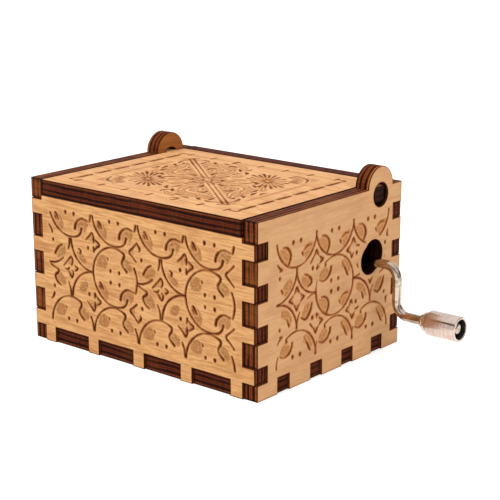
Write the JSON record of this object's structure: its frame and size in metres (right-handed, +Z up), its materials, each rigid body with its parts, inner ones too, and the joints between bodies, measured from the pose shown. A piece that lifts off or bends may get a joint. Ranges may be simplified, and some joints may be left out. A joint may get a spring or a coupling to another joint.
{
  "type": "hand-cranked music box",
  "caption": "Small finger-jointed plywood box with a hinged lid and a pinned-cylinder comb movement turned by a bent-wire hand crank in one end.",
  "frame": {"origin": "middle of the case's underside, where it rests on the table", "axes": "+X along the long front towards the crank end, +Y from the front to the back, +Z up"},
  "size_m": [0.0879, 0.05, 0.0415],
  "materials": {
    "plywood": "laser-cut basswood plywood, bare faces and charred edges",
    "die_cast_zinc": "die-cast zinc, satin",
    "zinc_plated_steel": "bright zinc plate",
    "blackened_steel": "black oxide",
    "pressed_steel": "nickel-plated sheet",
    "spring_steel": "ground",
    "ground_steel": "ground bright",
    "lead": "cast lead, dull",
    "brass": "turned",
    "nickel_plate": "bright nickel plate"
  },
  "bodies": {
    "case": {"front_panel": "plywood", "back_panel": "plywood", "left_end_panel": "plywood", "right_end_panel": "plywood", "bottom_panel": "plywood", "bedplate": "die_cast_zinc", "mounting_screws": "zinc_plated_steel", "front_cylinder_bracket": "pressed_steel", "rear_cylinder_bracket": "pressed_steel", "inner_worm_bracket": "pressed_steel", "outer_worm_bracket": "pressed_steel", "bracket_screws": "zinc_plated_steel", "comb_riser": "die_cast_zinc", "comb": "spring_steel", "tuning_weights": "lead", "comb_washers": "zinc_plated_steel", "comb_screws": "zinc_plated_steel"},
    "lid": {"lid_panel": "plywood"},
    "cylinder": {"cylinder_drum": "brass", "cylinder_pins": "spring_steel", "front_end_cap": "brass", "rear_end_cap": "brass", "cylinder_arbor": "ground_steel", "arbor_clips": "blackened_steel", "worm_wheel": "brass"},
    "crank": {"worm": "ground_steel", "worm_shaft": "ground_steel", "thrust_collars": "brass", "crank_sleeve": "nickel_plate", "sleeve_screws": "blackened_steel", "crank_wire": "nickel_plate", "knob_collar": "nickel_plate"},
    "knob": {"crank_knob": "nickel_plate"}
  },
  "joints": [
    {"name": "lid_hinge", "type": "hinge", "parent": "case", "child": "lid", "pos_m": [0, 0.0167, 0.03525], "axis": [-1, 0, 0], "range_deg": [0, 138]},
    {"name": "crank_turn", "type": "hinge", "parent": "case", "child": "crank", "pos_m": [0.0325, 0.0136, 0.0211], "axis": [1, 0, 0], "continuous": true},
    {"name": "knob_spin", "type": "hinge", "parent": "crank", "child": "knob", "pos_m": [0.05115, 0.0136, 0.0105], "axis": [1, 0, 0], "continuous": true},
    {"name": "cylinder_turn", "type": "hinge", "parent": "case", "child": "cylinder", "pos_m": [0.008, 0, 0.013], "axis": [0, 1, 0], "continuous": true}
  ],
  "couplings": [
    {"joint": "cylinder_turn", "follows": "crank_turn", "ratio": -0.0625}
  ]
}
